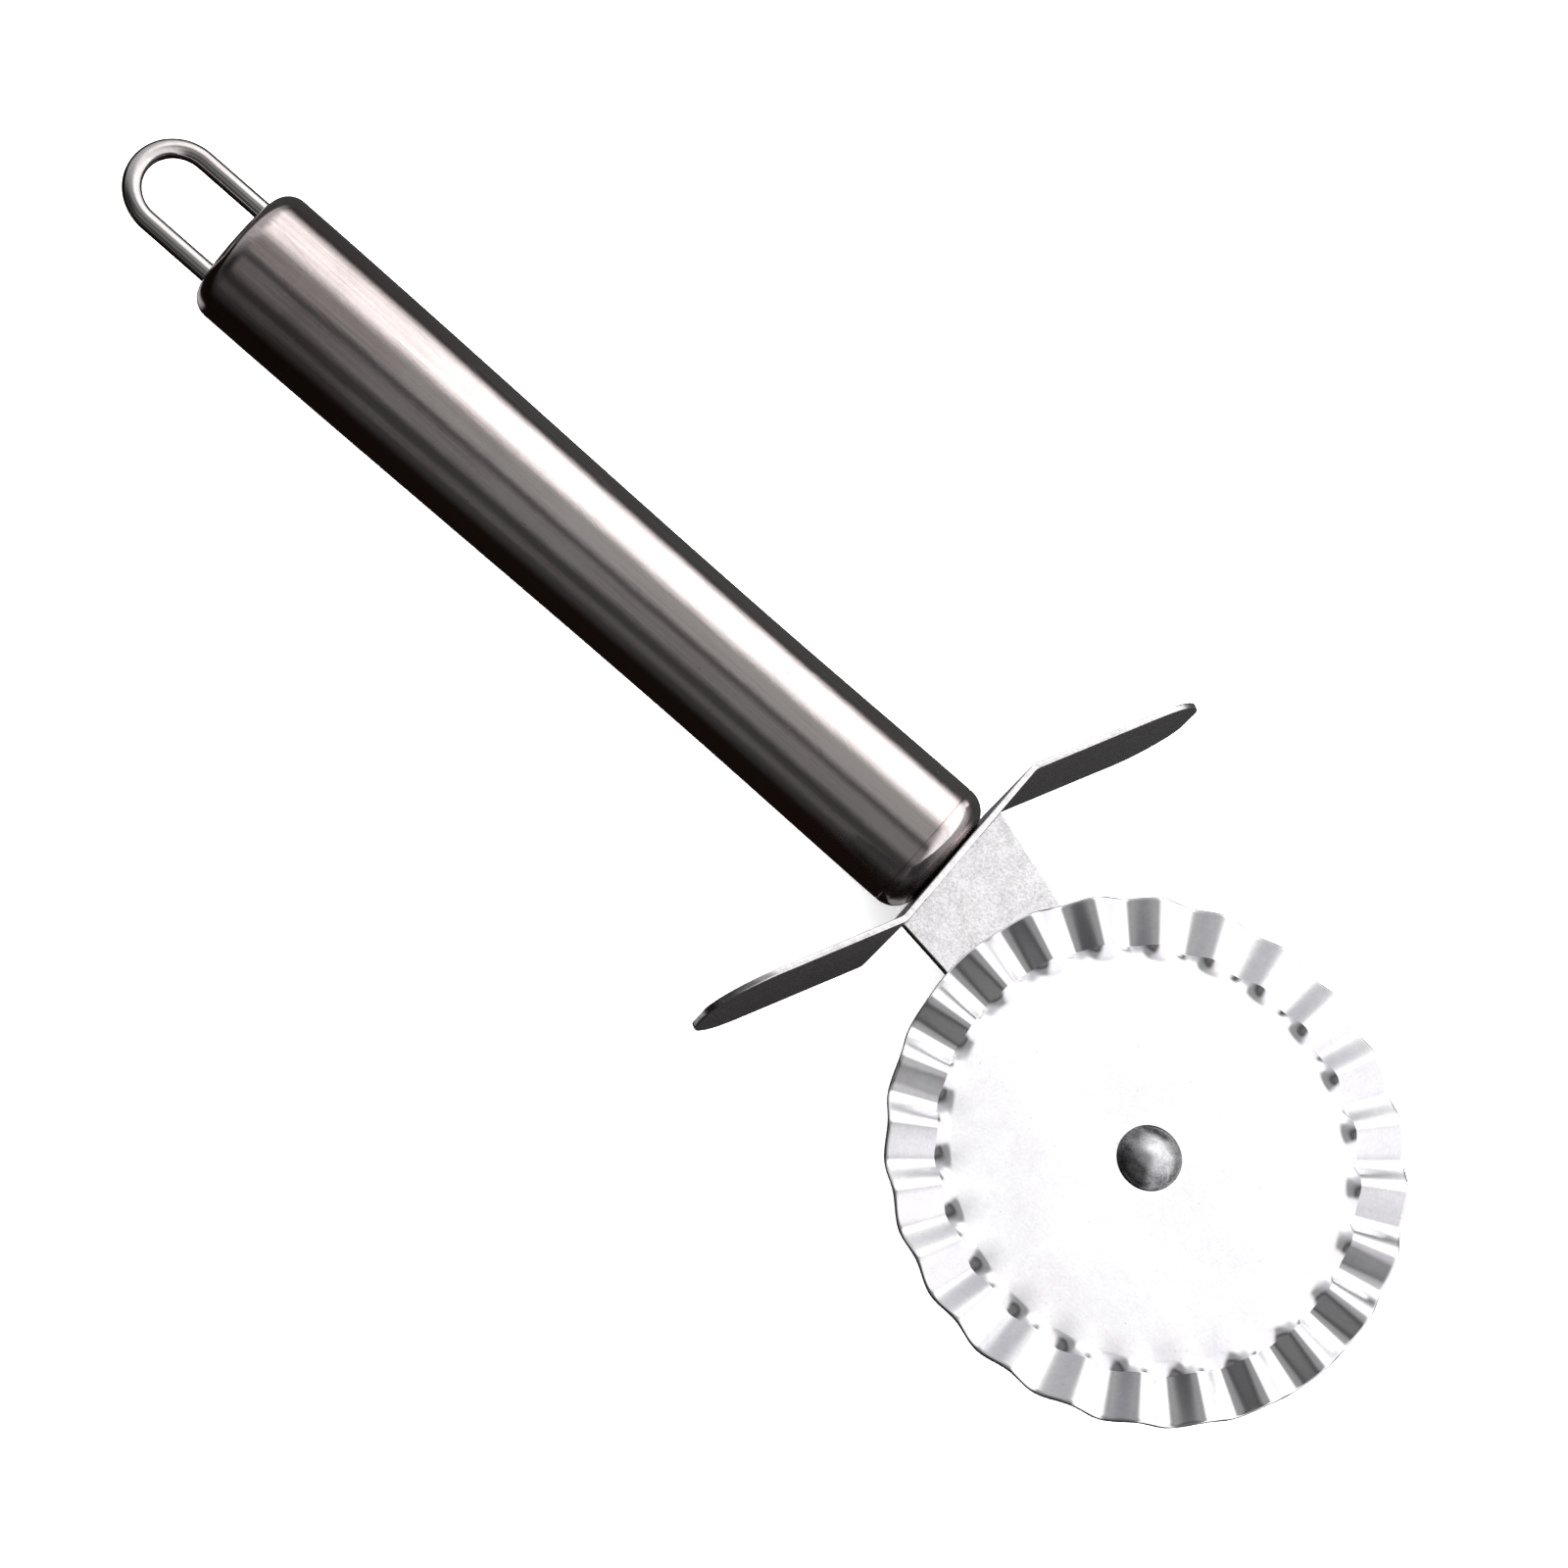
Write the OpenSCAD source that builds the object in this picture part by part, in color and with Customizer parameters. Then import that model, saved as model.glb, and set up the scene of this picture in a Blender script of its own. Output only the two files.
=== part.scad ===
// Pastry cutter wheel: a fluted steel wheel on a flat arm, a bent finger guard,
// a hollow waisted handle and a wire hanging loop.
// Millimetres. +X runs along the handle toward the wheel, +Z is the wheel's axis.

/* [Wheel] */
// Outer diameter of the fluted wheel
wheel_diameter = 66; // [58:0.5:72]
// Number of flutes around the rim
flute_count = 24; // [18:1:30]
// Height of the wave, crest to valley, at the middle of the sheet
flute_height = 1.6; // [0.8:0.1:1.9]
// Radial length of the flutes, from the rim to where they run out into the disc
flute_length = 6.2; // [4:0.2:8]
// Thickness of the flat disc
disc_thickness = 0.8; // [0.6:0.05:1]

/* [Axle] */
// Diameter of the domed rivet head
rivet_head_diameter = 8.2; // [7:0.1:10]
// Height of the domed rivet head
rivet_head_height = 1.9; // [1.2:0.1:2.4]
// Diameter of the shank the wheel turns on
shank_diameter = 4; // [3.4:0.1:5]

/* [Handle] */
// Length of the handle with both end caps
handle_length = 114.2; // [95:0.1:130]
// Diameter of the handle at its rear end
handle_rear_diameter = 18.4; // [17:0.1:19.2]
// Diameter of the handle at its waist
handle_waist_diameter = 17.1; // [16.4:0.1:18]
// Wall thickness of the handle tube
handle_wall = 1; // [0.7:0.05:1.3]

/* [Hanging loop] */
// Diameter of the loop wire
loop_wire_diameter = 2.5; // [2:0.1:3]
// Distance between the centres of the two loop legs
loop_leg_spacing = 11; // [9.6:0.2:12]
// Straight length of each loop leg behind the handle
loop_straight = 9.8; // [6:0.2:16]

/* [Finger guard] */
// Width of the guard strip
guard_width = 19.5; // [19.4:0.1:24]
// Thickness of the guard strip
guard_thickness = 0.8; // [0.6:0.05:1.2]
// Distance from the handle axis to each bend
guard_bend_offset = 13.2; // [12:0.2:16]
// Length of each wing from its bend to its tip
guard_wing_length = 25.6; // [18:0.2:32]
// Angle each wing is bent out of the middle plate, degrees
guard_wing_angle = 24.6; // [10:0.2:35]

/* [Arm] */
// Thickness of the arm plate
arm_thickness = 1; // [0.8:0.05:1.2]
// Width of the arm across its shoulders
arm_shoulder_width = 19.8; // [16:0.2:20.4]
// Width of the tang that enters the handle
tang_width = 11; // [8:0.2:12]
// Distance from the handle's front face to the wheel axle, along the handle
axle_reach = 41.7; // [40:0.1:48]
// Sideways distance of the wheel axle from the handle axis
axle_drop = 12.7; // [8:0.1:16]

/* [Hidden] */
$fn = 96;
wheel_radius = wheel_diameter / 2;
// gap left between pieces that slide in or over each other
fit_gap = 0.1;
// how far a cutting shape reaches past the faces it opens
past = 1;
// how far two shapes of one piece run into each other
join = 0.2;
// radial clearance of the wheel on its shank
running_clearance = 0.06;
// gap on each side of the turning disc
side_gap = 0.15;
// thickness of the fluted sheet, a little under the disc it grows from
sheet_thickness = disc_thickness - fit_gap;
spacer_height = 1.1;
spacer_diameter = 12;
arm_top = arm_thickness / 2;
disc_bottom = arm_top + spacer_height + side_gap;
disc_middle = disc_bottom + disc_thickness / 2;
disc_top = disc_bottom + disc_thickness;
head_bottom = disc_top + side_gap;
stub_diameter = shank_diameter - 1;
rear_washer_height = 0.6;
rear_washer_diameter = 8;
tail_diameter = 5.6;
tail_height = 1.1;
boss_radius = 6.2;
// the arm's two long edges bend where they are this far out, as a share of the reach
low_knee = 0.2;
high_knee = 0.32;
// how far each edge has moved sideways at its bend
low_knee_shift = 1;
high_knee_shift = 3.9;
// part of the boss circle left free by the arm's two long edges, degrees
boss_turn_start = -105;
boss_turn_end = 60;
boss_steps = 30;

// the flutes run out into the flat disc over this radial length
run_out = 1.9;
disc_radius = wheel_radius - flute_length - run_out;
// angle from the handle's direction to the first crest, degrees
first_crest = 5.2;
// sharpness of the crests: 0 is a plain sine wave, 1 is a straight fold
crest_sharpness = 0.9;
// bend of the ramp between the disc and the flutes
ramp_bend = 0.6;
// samples of the wave in one flute
flute_steps = 8;
wave_points = flute_count * flute_steps;
// the fluted sheet starts this far inside the edge of the disc
sheet_overlap = 0.5;
// shares of the run-out at which the fluted sheet is shaped, inner edge first
ramp_shares = [0.03, 0.35, 0.7, 1];
sheet_radii = concat(
    [disc_radius - sheet_overlap],
    [for (share = ramp_shares) disc_radius + share * run_out],
    [wheel_radius]
);
sheet_rows = len(sheet_radii);

cap_length = 3.6;
cap_edge_radius = 3.4;
rear_cap_edge_radius = 2.8;
edge_steps = 10;
spigot_length = 3.2;
waist_position = 0.7;
front_swell = 0.2;
tube_stations = 24;
tube_length = handle_length - 2 * cap_length;

leg_depth = 9;
loop_bend_radius = loop_leg_spacing / 2;
wire_radius = loop_wire_diameter / 2;
anchor_length = 4;
anchor_grip = 0.04;

bend_radius = 2.6;
bend_steps = 6;
corner_radius = 8;
slot_height = arm_thickness + 2 * fit_gap;
slot_width = tang_width + 2 * fit_gap;

tang_length = 22;
plug_length = 14;
// the inner pieces pass through the waist of the tube with this much room
plug_room = 0.25;
plug_radius = handle_waist_diameter / 2 - handle_wall - plug_room;
shoulder_bevel = 0.35;
// the shoulders rest on the front face of the guard
arm_start = guard_thickness;

// the overall box, used to put the origin under its centre
loop_apex = -handle_length - loop_straight - loop_bend_radius - wire_radius;
guard_tip = guard_bend_offset + guard_wing_length * cos(guard_wing_angle)
    + guard_thickness / 2 * sin(guard_wing_angle);
box_x = (loop_apex + axle_reach + wheel_radius) / 2;
box_y = (guard_tip - axle_drop - wheel_radius) / 2;
box_z = -guard_width / 2;

// smooth rise from 0 to 1
function ease(t) = let (c = min(1, max(0, t))) c * c * (3 - 2 * c);

// outer radius of the handle, s from 0 at the rear end to 1 at the front end
function handle_radius(s) = s < waist_position
    ? handle_waist_diameter / 2
        + (handle_rear_diameter - handle_waist_diameter) / 2 * (1 - ease(s / waist_position))
    : handle_waist_diameter / 2 + front_swell * ease((s - waist_position) / (1 - waist_position));

// wave between -1 and 1 with straight slopes and narrow rounded crests
function wave(a) = asin(crest_sharpness * cos((a - first_crest) * flute_count))
    / asin(crest_sharpness);

// share of the wave's full height at one radius: smooth at the disc, a crease at the flutes
function wave_rise(r) = let (t = min(1, max(0, (r - disc_radius) / run_out)))
    t * t * (1 + ramp_bend - ramp_bend * t);

function sheet_point(r, a, side) = [
    r * cos(a),
    r * sin(a),
    disc_middle + flute_height / 2 * wave(a) * wave_rise(r) + side * sheet_thickness / 2
];

// moves a child from the handle's front face to the shared frame
module placed() {
    translate([-box_x, -box_y, -box_z]) children();
}

// turns a solid of revolution drawn upward so that it runs along the handle
module along_handle() {
    rotate([90, 0, 90]) children();
}

module at_axle() {
    translate([axle_reach, -axle_drop, 0]) children();
}

module tang_slot(x, length) {
    translate([x, -slot_width / 2, -slot_height / 2]) cube([length, slot_width, slot_height]);
}

module tube_profile() {
    outer = [for (i = [0 : tube_stations])
        [handle_radius(i / tube_stations), cap_length + tube_length * i / tube_stations]];
    inner = [for (i = [tube_stations : -1 : 0]) [outer[i][0] - handle_wall, outer[i][1]]];
    polygon(concat(outer, inner));
}

module handle_tube() {
    color([0.72, 0.72, 0.73]) placed()
        translate([-handle_length, 0, 0]) along_handle()
            rotate_extrude() tube_profile();
}

// half section of an end cap, its rounded outer face at the bottom
module cap_profile(radius, edge, bore) {
    polygon(concat(
        [[0, 0]],
        [for (i = [0 : edge_steps])
            let (turn = 90 * i / edge_steps)
            [radius - edge + edge * sin(turn), edge - edge * cos(turn)]],
        [[radius, cap_length], [bore, cap_length], [bore, cap_length + spigot_length],
            [0, cap_length + spigot_length]]
    ));
}

module front_cap() {
    radius = handle_radius(1);
    color([0.7, 0.7, 0.71]) placed() difference() {
        mirror([1, 0, 0]) along_handle()
            rotate_extrude() cap_profile(radius, cap_edge_radius, radius - handle_wall - fit_gap);
        tang_slot(-cap_length - spigot_length - past, cap_length + spigot_length + 2 * past);
    }
}

module rear_cap() {
    radius = handle_radius(0);
    color([0.7, 0.7, 0.71]) placed() translate([-handle_length, 0, 0]) difference() {
        along_handle()
            rotate_extrude()
                cap_profile(radius, rear_cap_edge_radius, radius - handle_wall - 2 * fit_gap);
        for (side = [-1, 1])
            translate([-past, side * loop_bend_radius, 0]) along_handle()
                cylinder(
                    h = cap_length + spigot_length + 2 * past,
                    r = wire_radius + fit_gap / 2
                );
    }
}

module hanging_loop() {
    color([0.8, 0.8, 0.81]) placed() translate([-handle_length, 0, 0]) {
        for (side = [-1, 1])
            translate([-loop_straight, side * loop_bend_radius, 0]) along_handle()
                cylinder(h = loop_straight + leg_depth, r = wire_radius);
        translate([-loop_straight, 0, 0]) rotate([0, 0, 90])
            rotate_extrude(angle = 180) translate([loop_bend_radius, 0]) circle(r = wire_radius);
    }
}

module loop_anchor() {
    color([0.55, 0.55, 0.56]) placed()
        translate([cap_length + spigot_length - handle_length, 0, 0]) difference() {
            along_handle() cylinder(h = anchor_length, r = plug_radius);
            for (side = [-1, 1])
                translate([-past, side * loop_bend_radius, 0]) along_handle()
                    cylinder(h = anchor_length + 2 * past, r = wire_radius - anchor_grip);
        }
}

module tang_plug() {
    color([0.55, 0.55, 0.56]) placed() difference() {
        translate([-cap_length - spigot_length - plug_length, 0, 0]) along_handle()
            cylinder(h = plug_length, r = plug_radius);
        tang_slot(-cap_length - spigot_length - plug_length - past, plug_length + 2 * past);
    }
}

// middle line of the upper half of the guard strip: plate, bend, wing
function guard_path() = concat(
    [[0, 0]],
    [for (i = [0 : bend_steps])
        let (
            turn = guard_wing_angle * i / bend_steps,
            start = guard_bend_offset - bend_radius * tan(guard_wing_angle / 2)
        )
        [bend_radius * (1 - cos(turn)), start + bend_radius * sin(turn)]],
    [[guard_wing_length * sin(guard_wing_angle),
        guard_bend_offset + guard_wing_length * cos(guard_wing_angle)]]
);

// direction of the strip at each point of that line, as an angle from +Y
function guard_turns() = concat(
    [0],
    [for (i = [0 : bend_steps]) guard_wing_angle * i / bend_steps],
    [guard_wing_angle]
);

module guard_half_profile() {
    path = guard_path();
    turns = guard_turns();
    half = guard_thickness / 2;
    last = len(path) - 1;
    polygon(concat(
        [for (i = [0 : last]) path[i] + half * [cos(turns[i]), -sin(turns[i])]],
        [for (i = [last : -1 : 0]) path[i] - half * [cos(turns[i]), -sin(turns[i])]]
    ));
}

// takes the square corners off the end of one wing
module wing_corner_cuts() {
    reach = 2 * guard_thickness;
    translate([guard_wing_length * sin(guard_wing_angle),
        guard_bend_offset + guard_wing_length * cos(guard_wing_angle), 0])
        rotate([0, 0, -guard_wing_angle])
            for (side = [0, 1])
                mirror([0, 0, side])
                    translate([-reach, -corner_radius, guard_width / 2 - corner_radius])
                        difference() {
                            cube([2 * reach, corner_radius + past, corner_radius + past]);
                            translate([-past, 0, 0]) rotate([0, 90, 0])
                                cylinder(h = 2 * reach + 2 * past, r = corner_radius);
                        }
}

module guard_half() {
    difference() {
        translate([0, 0, -guard_width / 2])
            linear_extrude(height = guard_width) guard_half_profile();
        wing_corner_cuts();
    }
}

module finger_guard() {
    color([0.78, 0.78, 0.79]) placed()
        translate([guard_thickness / 2, 0, 0]) difference() {
            union() {
                guard_half();
                rotate([0, 0, 180]) guard_half();
            }
            tang_slot(-guard_thickness, 2 * guard_thickness);
        }
}

// arm from its shoulders to the round boss at the axle, with the tang behind
module arm_outline() {
    shoulder = arm_shoulder_width / 2;
    polygon(concat(
        [[arm_start, -shoulder], [axle_reach * low_knee, -shoulder - low_knee_shift]],
        [for (i = [0 : boss_steps])
            let (turn = boss_turn_start + (boss_turn_end - boss_turn_start) * i / boss_steps)
            [axle_reach + boss_radius * cos(turn), boss_radius * sin(turn) - axle_drop]],
        [[axle_reach * high_knee, shoulder - high_knee_shift], [arm_start, shoulder]]
    ));
    translate([arm_start - tang_length, -tang_width / 2])
        square([tang_length + past, tang_width]);
}

// wedge that takes the sharp front edge off one shoulder
module shoulder_cut() {
    translate([arm_start, arm_shoulder_width / 2 + past, arm_top]) rotate([90, 0, 0])
        linear_extrude(height = arm_shoulder_width / 2 - tang_width / 2 + past / 2)
            polygon([
                [-past, -shoulder_bevel - past],
                [shoulder_bevel + past, past],
                [-past, past]
            ]);
}

module wheel_arm() {
    color([0.86, 0.86, 0.88]) placed() difference() {
        translate([0, 0, -arm_thickness / 2])
            linear_extrude(height = arm_thickness) arm_outline();
        at_axle() translate([0, 0, -arm_thickness])
            cylinder(h = 2 * arm_thickness, d = stub_diameter + fit_gap);
        shoulder_cut();
        mirror([0, 1, 0]) shoulder_cut();
    }
}

module spacer_washer() {
    color([0.6, 0.6, 0.61]) placed() at_axle() translate([0, 0, arm_top])
        difference() {
            cylinder(h = spacer_height, d = spacer_diameter);
            translate([0, 0, -past])
                cylinder(h = spacer_height + 2 * past, d = shank_diameter + fit_gap);
        }
}

module fluted_sheet() {
    top = [for (r = sheet_radii) for (i = [0 : wave_points - 1])
        sheet_point(r, first_crest + 360 * i / wave_points, 1)];
    bottom = [for (r = sheet_radii) for (i = [0 : wave_points - 1])
        sheet_point(r, first_crest + 360 * i / wave_points, -1)];
    below = len(top);
    last_row = (sheet_rows - 1) * wave_points;
    faces = concat(
        [for (j = [0 : sheet_rows - 2]) for (i = [0 : wave_points - 1])
            let (n = (i + 1) % wave_points, a = j * wave_points, b = a + wave_points)
            each [[a + i, a + n, b + n], [a + i, b + n, b + i]]],
        [for (j = [0 : sheet_rows - 2]) for (i = [0 : wave_points - 1])
            let (n = (i + 1) % wave_points, a = below + j * wave_points, b = a + wave_points)
            each [[a + n, a + i, b + i], [a + n, b + i, b + n]]],
        [for (i = [0 : wave_points - 1])
            let (n = (i + 1) % wave_points)
            each [[n, i, below + i], [n, below + i, below + n]]],
        [for (i = [0 : wave_points - 1])
            let (n = (i + 1) % wave_points, a = last_row, b = below + last_row)
            each [[a + i, a + n, b + n], [a + i, b + n, b + i]]]
    );
    polyhedron(points = concat(top, bottom), faces = faces, convexity = 8);
}

module fluted_wheel() {
    color([0.9, 0.9, 0.92]) placed() at_axle()
        difference() {
            union() {
                fluted_sheet();
                translate([0, 0, disc_bottom]) cylinder(h = disc_thickness, r = disc_radius);
            }
            translate([0, 0, disc_bottom - past])
                cylinder(
                    h = disc_thickness + 2 * past,
                    r = shank_diameter / 2 + running_clearance
                );
        }
}

// spherical cap standing on the plane z = 0
module dome(diameter, height) {
    ball = (diameter * diameter / 4 + height * height) / (2 * height);
    intersection() {
        translate([0, 0, height - ball]) sphere(r = ball);
        cylinder(h = height + past, d = diameter + past);
    }
}

module axle_rivet() {
    color([0.66, 0.66, 0.68]) placed() at_axle() {
        translate([0, 0, head_bottom]) dome(rivet_head_diameter, rivet_head_height);
        translate([0, 0, arm_top])
            cylinder(h = head_bottom - arm_top + join, d = shank_diameter);
        translate([0, 0, -arm_top - rear_washer_height - join])
            cylinder(h = arm_thickness + rear_washer_height + 2 * join, d = stub_diameter);
        translate([0, 0, -arm_top - rear_washer_height])
            mirror([0, 0, 1]) dome(tail_diameter, tail_height);
    }
}

module rivet_washer() {
    color([0.6, 0.6, 0.61]) placed() at_axle()
        translate([0, 0, -arm_top - rear_washer_height]) difference() {
            cylinder(h = rear_washer_height, d = rear_washer_diameter);
            translate([0, 0, -past])
                cylinder(h = rear_washer_height + 2 * past, d = stub_diameter + fit_gap);
        }
}

handle_tube();
front_cap();
rear_cap();
hanging_loop();
loop_anchor();
tang_plug();
finger_guard();
wheel_arm();
spacer_washer();
fluted_wheel();
axle_rivet();
rivet_washer();
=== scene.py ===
"""Pastry cutter wheel: the fluted wheel, its arm, the bent finger guard, the hollow handle
and the wire hanging loop, with brushed and polished steel finishes and a small studio."""

import math

import bmesh
import bpy
import numpy as np
from mathutils import Matrix, Vector


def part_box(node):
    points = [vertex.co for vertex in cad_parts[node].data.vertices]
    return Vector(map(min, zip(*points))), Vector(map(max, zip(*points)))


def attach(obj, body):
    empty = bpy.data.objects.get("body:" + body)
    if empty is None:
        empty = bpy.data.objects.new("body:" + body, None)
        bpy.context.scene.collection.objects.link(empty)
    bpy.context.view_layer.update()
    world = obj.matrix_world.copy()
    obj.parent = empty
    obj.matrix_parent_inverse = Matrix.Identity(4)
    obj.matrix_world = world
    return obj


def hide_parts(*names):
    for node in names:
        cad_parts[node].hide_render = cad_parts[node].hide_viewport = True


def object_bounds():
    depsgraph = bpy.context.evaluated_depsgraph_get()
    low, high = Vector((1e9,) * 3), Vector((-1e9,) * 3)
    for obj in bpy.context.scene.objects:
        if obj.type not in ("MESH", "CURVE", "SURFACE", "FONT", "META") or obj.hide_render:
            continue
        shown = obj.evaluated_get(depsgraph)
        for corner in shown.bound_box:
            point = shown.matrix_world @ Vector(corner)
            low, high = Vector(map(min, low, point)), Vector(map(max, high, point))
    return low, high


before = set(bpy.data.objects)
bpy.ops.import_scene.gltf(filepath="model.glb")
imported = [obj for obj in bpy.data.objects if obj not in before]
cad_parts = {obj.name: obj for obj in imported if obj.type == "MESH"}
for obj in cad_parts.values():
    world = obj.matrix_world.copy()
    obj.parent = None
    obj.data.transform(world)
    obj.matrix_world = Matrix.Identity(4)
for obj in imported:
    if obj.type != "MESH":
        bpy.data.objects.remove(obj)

bl_info = {
    "name": "Pastry Cutter Wheel",
    "version": (1, 0, 0),
    "blender": (4, 5, 0),
    "location": "3D View > Sidebar > Pastry Wheel",
    "description": "Builds the pieces and finishes of a pastry cutter wheel on its packed frame",
    "category": "Object",
}

CAD_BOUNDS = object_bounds()
MM = 0.001


def middle(node):
    """Centre of a CAD node's box."""
    low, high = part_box(node)
    return (low + high) / 2


# where the main pieces are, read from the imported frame
FRONT_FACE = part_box("front_cap")[1].x
REAR_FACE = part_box("rear_cap")[0].x
AXIS_Y = middle("handle_tube").y
AXIS_Z = middle("handle_tube").z
HUB = middle("fluted_wheel")
ARM_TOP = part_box("wheel_arm")[1].z
FLOOR_Z = CAD_BOUNDS[0].z


# ---------------------------------------------------------------- sizes and colours

def length(name, value, description):
    """A distance property given in millimetres and kept in metres."""
    return bpy.props.FloatProperty(
        name=name, description=description, default=value * MM, min=0.0,
        precision=5, subtype="DISTANCE", unit="LENGTH")


def angle(name, degrees, description):
    return bpy.props.FloatProperty(
        name=name, description=description, default=math.radians(degrees), subtype="ANGLE")


def share(name, value, description, top=1.0):
    return bpy.props.FloatProperty(
        name=name, description=description, default=value, min=0.0, max=top, subtype="FACTOR")


def tint(name, value, description):
    return bpy.props.FloatVectorProperty(
        name=name, description=description, default=value, size=3, min=0.0, max=1.0,
        subtype="COLOR")


class HandleSizes(bpy.types.PropertyGroup):
    rear_radius: length("Rear radius", 9.2, "Radius of the handle where it meets the rear cap")
    waist_radius: length("Waist radius", 8.55, "Radius of the handle at its waist")
    front_swell: length("Front swell", 0.2, "How much the handle widens from waist to front cap")
    waist_position: share("Waist position", 0.7, "Place of the waist, from rear 0 to front 1")
    wall: length("Wall", 1.0, "Wall thickness of the tube")
    cap_length: length("Cap length", 3.6, "Length of each end cap outside the tube")
    spigot: length("Spigot", 3.2, "Length of each cap inside the tube")
    front_edge: length("Front edge radius", 3.4, "Rounding of the front cap's outer edge")
    rear_edge: length("Rear edge radius", 2.8, "Rounding of the rear cap's outer edge")
    seam: length("Seam", 0.1, "Size of the broken edges where the front cap meets the tube")
    slot_width: length("Slot width", 11.2, "Width of the slot that the tang passes through")
    slot_height: length("Slot height", 1.2, "Height of the slot that the tang passes through")


class LoopSizes(bpy.types.PropertyGroup):
    wire_radius: length("Wire radius", 1.25, "Radius of the loop wire")
    bend_radius: length("Bend radius", 5.5, "Radius of the half circle, to the wire's centre")
    straight: length("Straight", 9.8, "Straight length of each leg behind the handle")
    leg_depth: length("Leg depth", 9.0, "Length of each leg inside the handle")


class GuardSizes(bpy.types.PropertyGroup):
    width: length("Width", 19.5, "Width of the strip")
    thickness: length("Thickness", 0.8, "Thickness of the strip")
    bend_offset: length("Bend offset", 13.2, "Distance from the handle axis to each bend")
    bend_radius: length("Bend radius", 2.6, "Radius of each bend, to the middle of the strip")
    wing_length: length("Wing length", 25.6, "Length of each wing from its bend to its tip")
    wing_angle: angle("Wing angle", 24.6, "Angle each wing is bent out of the middle plate")
    corner: length("Corner radius", 8.0, "Rounding of the corners at each tip")
    edge: length("Edge rounding", 0.16, "Rounding of the strip's long edges")


class ArmSizes(bpy.types.PropertyGroup):
    thickness: length("Thickness", 1.0, "Thickness of the arm plate")
    shoulder: length("Half shoulder width", 9.9, "Half the width of the arm across its shoulders")
    boss_radius: length("Boss radius", 6.2, "Radius of the round end at the axle")
    tang_width: length("Tang width", 11.0, "Width of the tang inside the handle")
    tang_length: length("Tang length", 22.0, "Length of the tang behind the shoulders")
    bevel: length("Shoulder bevel", 0.35, "Bevel along the upper edge of the shoulders")
    edge: length("Edge rounding", 0.12, "Rounding of the plate's long edges")


class WheelSizes(bpy.types.PropertyGroup):
    radius: length("Radius", 33.0, "Outer radius of the wheel")
    flutes: bpy.props.IntProperty(
        name="Flutes", description="Number of flutes round the rim", default=24, min=6, max=60)
    flute_height: length("Flute height", 1.6, "Height of the wave, crest to valley")
    flute_length: length("Flute length", 6.2, "Radial length of the flutes")
    run_out: length("Run-out", 1.9, "Radial length over which the flutes meet the flat disc")
    first_crest: angle("First crest", 5.2, "Angle from the handle's direction to the first crest")
    disc_thickness: length("Disc thickness", 0.8, "Thickness of the flat disc")
    sheet_thickness: length("Sheet thickness", 0.7, "Thickness of the fluted sheet")
    bore: length("Bore radius", 2.06, "Radius of the hole in the middle")
    crispness: share("Crispness", 0.35, "How narrow the rounded crests are, 1 is a sharp fold")


class RivetSizes(bpy.types.PropertyGroup):
    head_radius: length("Head radius", 4.1, "Radius of the domed head")
    head_height: length("Head height", 1.9, "Height of the domed head")
    shank_radius: length("Shank radius", 2.0, "Radius of the shank the wheel turns on")
    stub_radius: length("Stub radius", 1.5, "Radius of the stub through the arm")
    tail_radius: length("Tail radius", 2.8, "Radius of the closed tail")
    tail_height: length("Tail height", 1.1, "Height of the closed tail")
    washer: length("Washer", 0.6, "Thickness of the washer behind the arm")


class Finishes(bpy.types.PropertyGroup):
    handle: tint("Handle steel", (0.765, 0.70, 0.69), "Colour of the polished handle")
    # the handle's deep tone is used for its streaks and also as painted shade, darkening the handle
    # toward its rear end
    handle_streaks_and_shade: tint("Handle streaks and painted shade", (0.47, 0.405, 0.395), "Colour of the streaks on the handle")
    wire: tint("Loop wire", (0.66, 0.65, 0.64), "Colour of the hanging loop")
    sheet: tint("Arm steel", (0.73, 0.72, 0.73), "Colour of the arm")
    sheet_deep: tint("Arm mottle", (0.42, 0.395, 0.41), "Colour of the mottling on the arm")
    guard: tint("Guard steel", (0.84, 0.83, 0.83), "Colour of the finger guard")
    guard_deep: tint("Guard mottle", (0.50, 0.48, 0.50), "Colour of the mottling on the guard")
    wheel: tint("Wheel steel", (0.86, 0.855, 0.865), "Colour of the wheel")
    wheel_deep: tint("Wheel mottle", (0.64, 0.625, 0.66), "Colour of the mottling on the wheel")
    rivet: tint("Rivet steel", (0.68, 0.68, 0.69), "Colour of the rivet")
    # the rivet's deep tone is used for its mottle and also as painted shade, darkening the dome
    # toward its rim
    rivet_mottle_and_shade: tint("Rivet mottle and painted shade", (0.09, 0.09, 0.095), "Colour of the rivet toward its rim")
    inner: tint("Inner steel", (0.45, 0.44, 0.43), "Colour of the parts inside the handle")


class StudioSettings(bpy.types.PropertyGroup):
    azimuth: angle("Azimuth", -0.2, "Direction the camera looks from, about the vertical")
    elevation: angle("Elevation", 66.12, "Height of the camera above the horizon, as an angle")
    roll: angle("Roll", 41.37, "Turn of the camera about its own line of sight")
    distance: length("Distance", 897.5, "Distance from the camera to the point it looks at")
    aim: bpy.props.FloatVectorProperty(
        name="Aim", description="Point the camera looks at, in metres", size=3,
        default=(0.00697, -0.00164, 0.00975), subtype="TRANSLATION", unit="LENGTH")
    lens: bpy.props.FloatProperty(
        name="Lens", description="Focal length of the camera", default=170.2, min=20.0,
        subtype="DISTANCE_CAMERA", unit="CAMERA")
    floor: tint("Floor", (0.94, 0.94, 0.94), "Colour of the plain floor")
    floor_light: bpy.props.FloatProperty(
        name="Floor light", description="Power of the soft lights over the floor", default=44.0,
        min=0.0, subtype="POWER", unit="POWER")
    room_light: share("Room light", 1.0, "Strength of the studio that the steel mirrors", 4.0)


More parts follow.
